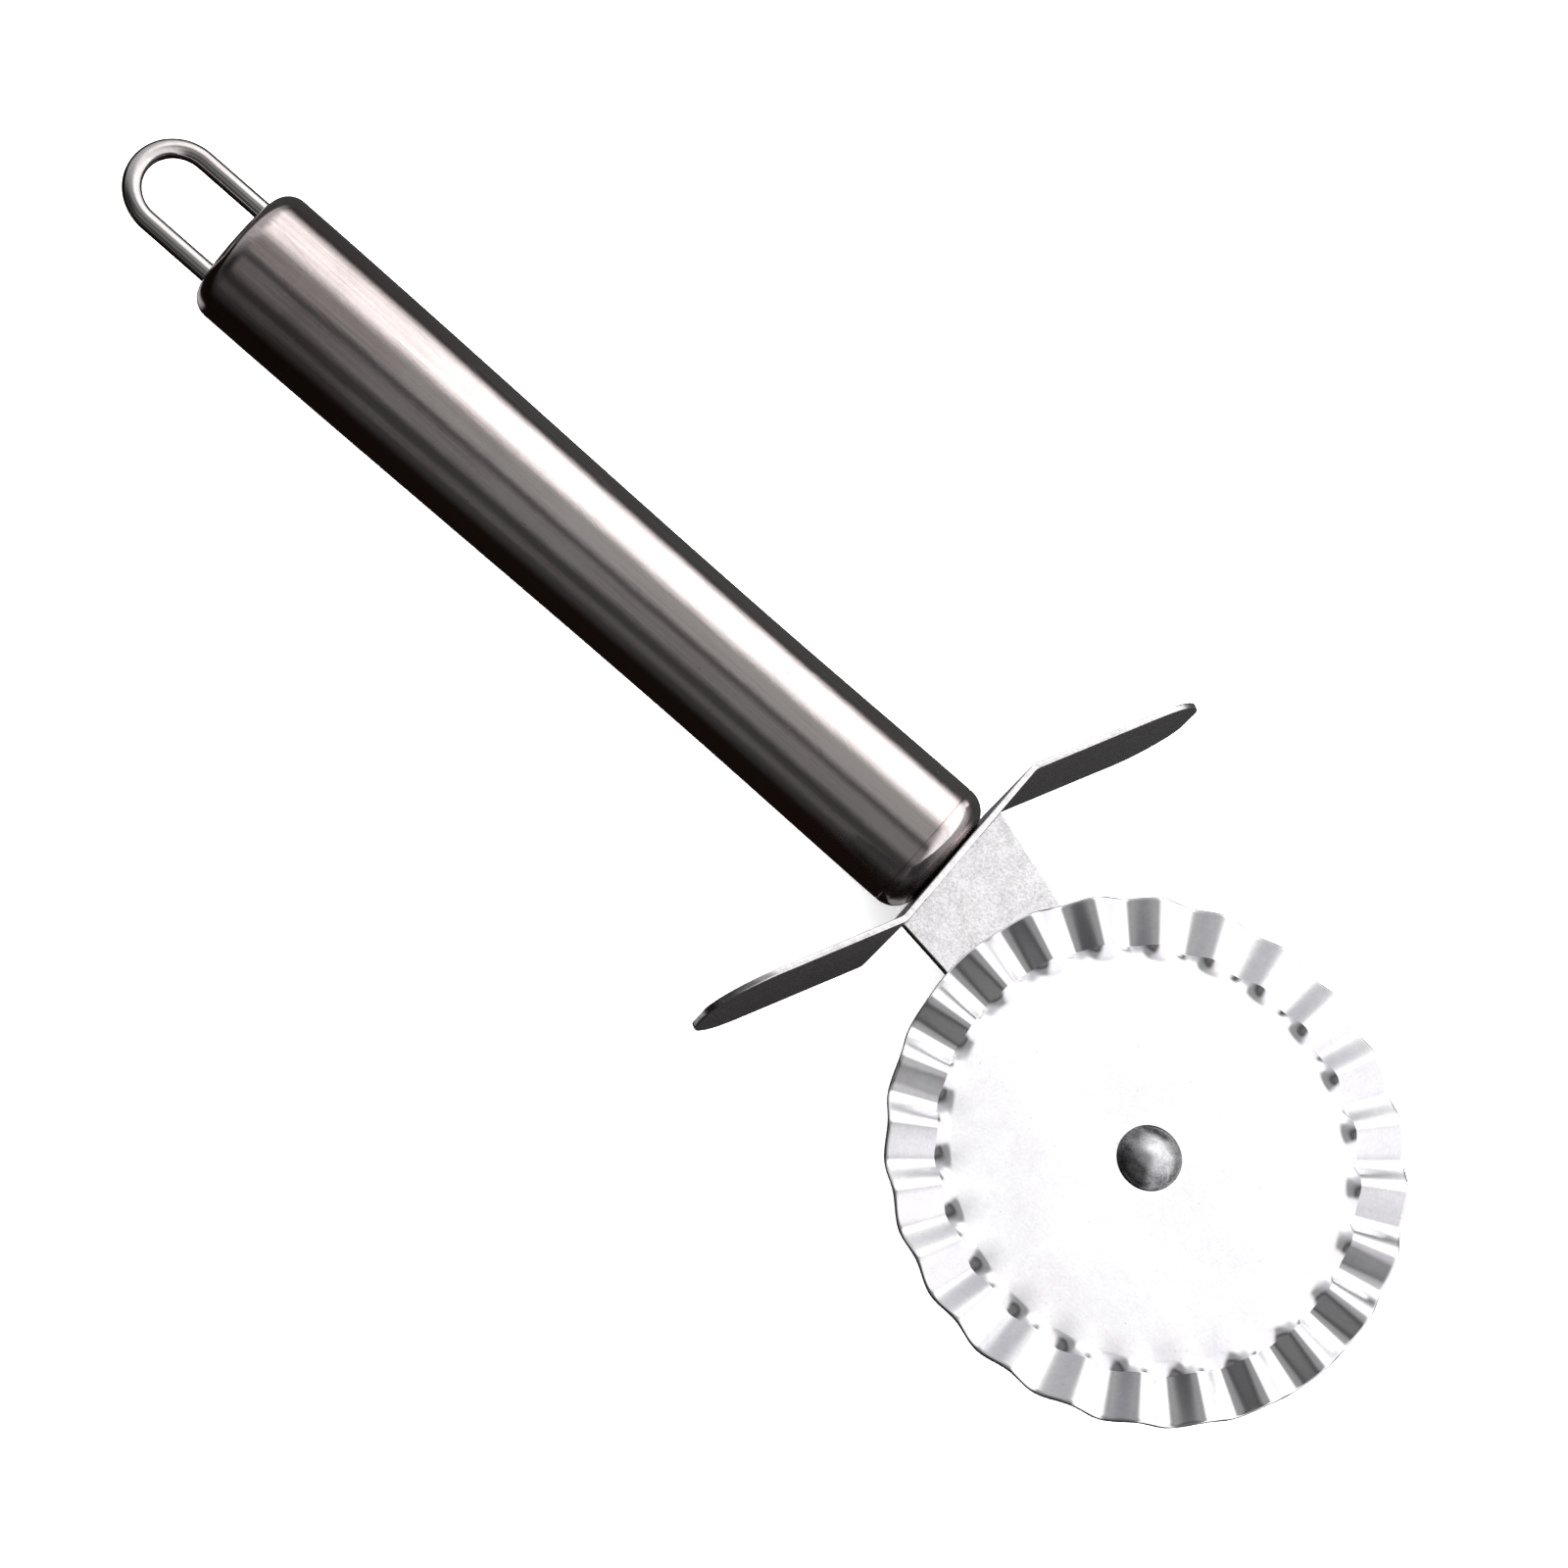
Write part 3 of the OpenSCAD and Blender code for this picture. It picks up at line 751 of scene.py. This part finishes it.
class PASTRY_OT_arm(bpy.types.Operator):
    """Builds the flat arm with its tang"""
    bl_idname = "pastry_wheel.arm"
    bl_label = "Wheel Arm"

    def execute(self, context):
        """A flat section between two edge lines: straight from the shoulders to the boss,
        then the boss circle, hub plus radius times sine and cosine."""
        a = context.scene.pastry_wheel.arm
        g = context.scene.pastry_wheel.guard
        start = FRONT_FACE + g.thickness
        reach, drop = HUB.x - FRONT_FACE, HUB.y - AXIS_Y
        low_turn, high_turn = math.radians(-105), math.radians(60)
        knee_low = (FRONT_FACE + reach * 0.2, -a.shoulder - 1.0 * MM)
        knee_high = (FRONT_FACE + reach * 0.32, a.shoulder - 3.9 * MM)
        meet_low = (HUB.x + a.boss_radius * math.cos(low_turn),
                    drop + a.boss_radius * math.sin(low_turn))
        meet_high = (HUB.x + a.boss_radius * math.cos(high_turn),
                     drop + a.boss_radius * math.sin(high_turn))
        boss = HUB.x + a.boss_radius * np.sin(np.radians(np.linspace(-15, 90, 40)))
        x = np.unique(np.concatenate([
            start + np.array([0.0, 0.5, 1.0]) * a.bevel,
            np.linspace(start + 1.2 * a.bevel, meet_low[0], 44),
            [knee_low[0], knee_high[0], meet_high[0]], boss]))
        round_part = np.sqrt(np.maximum(a.boss_radius ** 2 - (x - HUB.x) ** 2, 0))
        low = np.where(x < meet_low[0], np.interp(
            x, [start, knee_low[0], meet_low[0]], [-a.shoulder, knee_low[1], meet_low[1]]),
            drop - round_part)
        high = np.where(x < meet_high[0], np.interp(
            x, [start, knee_high[0], meet_high[0]], [a.shoulder, knee_high[1], meet_high[1]]),
            drop + round_part)
        top = a.thickness / 2 - np.clip(a.bevel - (x - start), 0, a.bevel)
        bottom = np.full(len(x), -a.thickness / 2)
        across, height = plate_rows(low, high, top, bottom, a.edge, 30)
        blade = np.stack([np.broadcast_to(x[:, None], across.shape), AXIS_Y + across,
                          AXIS_Z + height], axis=2)
        back = np.array([start - a.tang_length, start - 2.0 * MM, start + 1.0 * MM])
        same = np.ones(3)
        thin = a.thickness / 2 - 0.01 * MM
        across, height = plate_rows(-a.tang_width / 2 * same, a.tang_width / 2 * same,
                                    thin * same, -thin * same, a.edge, 30)
        tang = np.stack([np.broadcast_to(back[:, None], across.shape), AXIS_Y + across,
                         AXIS_Z + height], axis=2)
        piece = make_piece("arm_plate", [closed_ends(blade), closed_ends(tang)])
        complete(piece, finish("matte_arm"), "handle", ["wheel_arm"])
        return {"FINISHED"}


class PASTRY_OT_wheel(bpy.types.Operator):
    """Builds the fluted wheel"""
    bl_idname = "pastry_wheel.wheel"
    bl_label = "Fluted Wheel"

    def execute(self, context):
        """Height of the sheet is half the flute height times a wave round the wheel times a
        rise along the radius. The wave is the arcsine of a cosine, which has straight slopes
        and narrow crests; the rise is smooth at the disc and creased where the flutes begin.
        Columns crowd together at the crests and valleys."""
        w = context.scene.pastry_wheel.wheel
        disc = w.radius - w.flute_length - w.run_out
        half_pitch = math.pi / w.flutes
        u = np.linspace(0, 1, 16, endpoint=False)
        crowded = (u - 0.8 * np.sin(2 * np.pi * u) / (2 * np.pi)) * half_pitch
        turn = (np.arange(2 * w.flutes)[:, None] * half_pitch + crowded[None, :]).ravel()
        wave = np.arcsin(w.crispness * np.cos(turn * w.flutes)) / math.asin(w.crispness)
        edge = 0.28 * MM
        lift = np.radians(np.linspace(0, 90, 5))
        rim = w.radius - edge + edge * np.sin(lift)
        rim_half = w.sheet_thickness / 2 - edge + edge * np.cos(lift)
        r = np.concatenate([
            w.bore + np.array([0.0, 0.06, 0.12]) * MM, np.linspace(w.bore + 1.0 * MM, disc, 8),
            disc + w.run_out * np.linspace(0.1, 0.98, 12),
            disc + w.run_out + np.array([0.0, 0.05, 0.3]) * MM,
            np.linspace(disc + w.run_out + 1.2 * MM, w.radius - 2 * edge, 6), rim])
        half = np.interp(r, [disc, disc + w.run_out],
                         [w.disc_thickness / 2, w.sheet_thickness / 2])
        half[0] -= 0.06 * MM
        half[-5:] = rim_half
        t = np.clip((r - disc) / w.run_out, 0, 1)
        rise = w.flute_height / 2 * t * t * (1.6 - 0.6 * t)
        middle_line = rise[:, None] * wave[None, :]
        angle_round = turn[None, :] + w.first_crest
        flat_x = HUB.x + r[:, None] * np.cos(angle_round)
        flat_y = HUB.y + r[:, None] * np.sin(angle_round)
        upper = np.stack([flat_x, flat_y, HUB.z + middle_line + half[:, None]], axis=2)
        lower = np.stack([flat_x, flat_y, HUB.z + middle_line - half[:, None]], axis=2)
        piece = make_piece("wheel_disc", [np.concatenate([upper, lower[::-1]])], ring=True)
        complete(piece, finish("bright_wheel"), "wheel", ["fluted_wheel"], 50.0)
        return {"FINISHED"}


class PASTRY_OT_rivet(bpy.types.Operator):
    """Builds the domed axle rivet"""
    bl_idname = "pastry_wheel.rivet"
    bl_label = "Axle Rivet"

    def execute(self, context):
        """A profile turned about the axle: the tail's shallow dome, stub, shank, the head's
        softened rim and its dome, each dome being an arc of the circle through its rim."""
        v = context.scene.pastry_wheel.rivet
        arm_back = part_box("wheel_arm")[0].z
        seat, tail_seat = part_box("axle_rivet")[1].z - v.head_height, arm_back - v.washer

        def dome(radius, height, base, way, steps):
            ball = (radius ** 2 + height ** 2) / (2 * height)
            reach = np.linspace(0, 1, steps)
            across = radius * reach
            rise = np.sqrt(ball ** 2 - across ** 2) - (ball - height)
            return np.stack([base + way * rise, across], axis=1)

        tail = dome(v.tail_radius, v.tail_height, tail_seat, -1, 14)
        head = dome(v.head_radius, v.head_height, seat, 1, 34)[::-1]
        soft = 0.22 * MM
        rim = np.array([[seat, v.head_radius - soft], [seat + 0.03 * MM, v.head_radius - 0.08 * MM],
                        [seat + 0.12 * MM, v.head_radius - 0.03 * MM]])
        head = head[head[:, 0] > seat + soft]
        profile = np.concatenate([
            tail, [[tail_seat, v.stub_radius], [ARM_TOP, v.stub_radius],
                   [ARM_TOP, v.shank_radius], [seat, v.shank_radius]], rim, head])
        piece = make_piece("rivet_body", [revolve(profile, 128, "z", (HUB.x, HUB.y, 0.0))])
        complete(piece, finish("rivet_steel"), "handle", ["axle_rivet"], 40.0)
        return {"FINISHED"}


class PASTRY_OT_inner(bpy.types.Operator):
    """Gives the washers, the plug and the loop anchor their finishes"""
    bl_idname = "pastry_wheel.inner"
    bl_label = "Washers and Inner Parts"

    def execute(self, context):
        for name, kind in (("spacer_washer", "washer_steel"), ("rivet_washer", "washer_steel"),
                           ("tang_plug", "inner_steel"), ("loop_anchor", "inner_steel")):
            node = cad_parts[name]
            if not node.material_slots:
                raise RuntimeError(f"{name} has no material slot")
            for place in node.material_slots:
                place.material = finish(kind)
        return {"FINISHED"}


# ---------------------------------------------------------------- studio

# The studio as the steel mirrors it. Each part runs round the handle between two angles, in
# degrees from overhead toward +Y, with edges this soft, and has this much light. Later parts
# cover earlier ones. What no part covers is the dark table.
STUDIO_PARTS = {
    "room": (-110, 95, 15, 0.05),
    "low shelf": (-95, -80, 5, 0.10),
    "wall": (-60, -30, 8, 0.20),
    "coving": (-20, 25, 8, 0.35),
    "ceiling": (20, 75, 12, 1.75),
    "far wall": (90, 165, 10, 0.07),
}
DARK_TABLE = (0.008, 0.005, 0.004)
TOP_LIGHT = 2.2


def studio_world(settings):
    """Light by direction: the studio's parts by the angle in the plane across the handle, a
    bright sector toward +X, a mid grey one toward -X, and plain pale to the camera."""
    world = bpy.data.worlds.new("studio")
    bpy.context.scene.world = world
    world.use_nodes = True
    tree = world.node_tree
    tree.nodes.clear()
    way = add_node(tree, "ShaderNodeTexCoord").outputs["Generated"]
    x, y, z = add_node(tree, "ShaderNodeSeparateXYZ", {0: way}).outputs
    around = math_node(tree, "ARCTAN2", y, z)

    def light(*colour):
        return (*[c / TOP_LIGHT for c in colour], 1)

    def product(first, *others):
        for mask in others:
            first = math_node(tree, "MULTIPLY", first, mask)
        return first

    table = add_node(tree, "ShaderNodeRGB").outputs[0]
    table.default_value = light(*DARK_TABLE)
    bands = table
    for start, end, soft, grey in STUDIO_PARTS.values():
        start, end, soft = (math.radians(v) for v in (start, end, soft))
        part = product(mask_node(tree, around, start - soft, start + soft),
                       mask_node(tree, around, end + soft, end - soft))
        bands = mix_node(tree, part, bands, light(grey, grey, grey))
    above = mask_node(tree, z, -0.12, 0.06)
    below = mask_node(tree, z, -0.84, -0.90)
    slant = math_node(tree, "MULTIPLY_ADD", y, 0.54, math_node(tree, "ADD", x, 0.2))
    right = product(mask_node(tree, slant, 0.18, 0.80), mask_node(tree, x, 0.0, 0.25), above)
    left = product(mask_node(tree, x, -0.14, -0.78), above)
    rear = product(mask_node(tree, x, -0.15, -0.35), below)
    shade = mix_node(tree, mask_node(tree, y, -0.62, 0.42), light(0.03, 0.03, 0.034),
                     light(0.66, 0.66, 0.68))
    colour = mix_node(tree, left, bands, shade)
    colour = mix_node(tree, right, colour, light(1.25, 1.23, 1.27), "LIGHTEN")
    colour = mix_node(tree, rear, colour, light(0.55, 0.55, 0.55), "LIGHTEN")
    mirrored = add_node(tree, "ShaderNodeBackground", {
        "Color": colour, "Strength": TOP_LIGHT * settings.room_light})
    plain = add_node(tree, "ShaderNodeBackground", {"Color": (0.93, 0.93, 0.93, 1)})
    ray = add_node(tree, "ShaderNodeLightPath")
    choose = add_node(tree, "ShaderNodeMixShader", {
        0: ray.outputs["Is Camera Ray"], 1: mirrored.outputs[0], 2: plain.outputs[0]})
    add_node(tree, "ShaderNodeOutputWorld", {"Surface": choose.outputs[0]})


def floor_material(settings):
    """Plain matte floor with the slightest unevenness."""
    material = bpy.data.materials.new("pale_floor")
    material.use_nodes = True
    tree = material.node_tree
    shader = tree.nodes["Principled BSDF"]
    for name, value in (("Roughness", 0.9), ("Specular IOR Level", 0.1),
                        ("Emission Color", (1.0, 1.0, 1.0, 1.0)), ("Emission Strength", 0.6)):
        shader.inputs[name].default_value = value
    place = add_node(tree, "ShaderNodeTexCoord").outputs["Object"]
    noise = add_node(tree, "ShaderNodeTexNoise", {"Vector": place, "Scale": 9.0})
    shaded = [c * 0.99 for c in settings.floor]
    mix = mix_node(tree, noise.outputs["Fac"], (*settings.floor, 1), (*shaded, 1))
    tree.links.new(mix, shader.inputs["Base Color"])
    return material


class PASTRY_OT_stage(bpy.types.Operator):
    """Sets the camera, the soft light and the plain floor"""
    bl_idname = "pastry_wheel.stage"
    bl_label = "Studio"

    def execute(self, context):
        s = context.scene.pastry_wheel.studio
        scene = context.scene
        back = Vector((math.sin(s.azimuth) * math.cos(s.elevation),
                       -math.cos(s.azimuth) * math.cos(s.elevation), math.sin(s.elevation)))
        level = Vector((math.cos(s.azimuth), math.sin(s.azimuth), 0.0))
        upright = back.cross(level)
        right = level * math.cos(s.roll) + upright * math.sin(s.roll)
        up = back.cross(right)
        lens = bpy.data.cameras.new("camera")
        lens.lens = s.lens
        lens.sensor_width = 36.0
        lens.clip_start, lens.clip_end = 0.01, 20.0
        camera = bpy.data.objects.new("camera", lens)
        scene.collection.objects.link(camera)
        place = Vector(s.aim) + back * s.distance
        turn = Matrix((right, up, back)).transposed().to_4x4()
        camera.matrix_world = Matrix.Translation(place) @ turn
        scene.camera = camera
        scene.view_settings.view_transform = "Standard"

        reach = 2.0
        corners = [(-reach, -reach, FLOOR_Z), (reach, -reach, FLOOR_Z),
                   (reach, reach, FLOOR_Z), (-reach, reach, FLOOR_Z)]
        mesh = bpy.data.meshes.new("floor")
        mesh.from_pydata(corners, [], [(0, 1, 2, 3)])
        floor = bpy.data.objects.new("floor", mesh)
        scene.collection.objects.link(floor)
        mesh.materials.append(floor_material(s))
        floor.visible_glossy = False

        for name, spot, size in (("light_front", (0.5, -0.9, 1.3), 1.4),
                                 ("light_back", (-0.7, 0.8, 1.4), 1.6),
                                 ("light_top", (0.1, 0.1, 1.7), 1.8)):
            lamp = bpy.data.lights.new(name, "AREA")
            lamp.energy = s.floor_light
            lamp.size = size
            light = bpy.data.objects.new(name, lamp)
            light.location = spot
            light.rotation_mode = "QUATERNION"
            light.rotation_quaternion = (-Vector(spot)).to_track_quat("-Z", "Y")
            light.visible_glossy = False
            scene.collection.objects.link(light)
        studio_world(s)
        return {"FINISHED"}


class PASTRY_PT_panel(bpy.types.Panel):
    """Lists the pieces and their sizes"""
    bl_label = "Pastry Cutter Wheel"
    bl_idname = "PASTRY_PT_panel"
    bl_space_type = "VIEW_3D"
    bl_region_type = "UI"
    bl_category = "Pastry Wheel"

    def draw(self, context):
        settings = context.scene.pastry_wheel
        for operator in OPERATORS:
            self.layout.operator(operator.bl_idname)
        for name, group in GROUPS:
            part = getattr(settings, name)
            box = self.layout.box()
            box.label(text=name.capitalize())
            for field in group.__annotations__:
                box.prop(part, field)


OPERATORS = (
    PASTRY_OT_handle, PASTRY_OT_loop, PASTRY_OT_guard, PASTRY_OT_arm, PASTRY_OT_wheel,
    PASTRY_OT_rivet, PASTRY_OT_inner, PASTRY_OT_stage,
)
CLASSES = tuple(group for _, group in GROUPS) + (PastryWheelSettings,) + OPERATORS + (
    PASTRY_PT_panel,)


def register():
    for item in CLASSES:
        bpy.utils.register_class(item)
    bpy.types.Scene.pastry_wheel = bpy.props.PointerProperty(type=PastryWheelSettings)


def unregister():
    del bpy.types.Scene.pastry_wheel
    for item in reversed(CLASSES):
        bpy.utils.unregister_class(item)


def main():
    register()
    bpy.ops.pastry_wheel.handle()
    bpy.ops.pastry_wheel.loop()
    bpy.ops.pastry_wheel.guard()
    bpy.ops.pastry_wheel.arm()
    bpy.ops.pastry_wheel.wheel()
    bpy.ops.pastry_wheel.rivet()
    bpy.ops.pastry_wheel.inner()
    bpy.ops.pastry_wheel.stage()


if __name__ == "__main__":
    main()
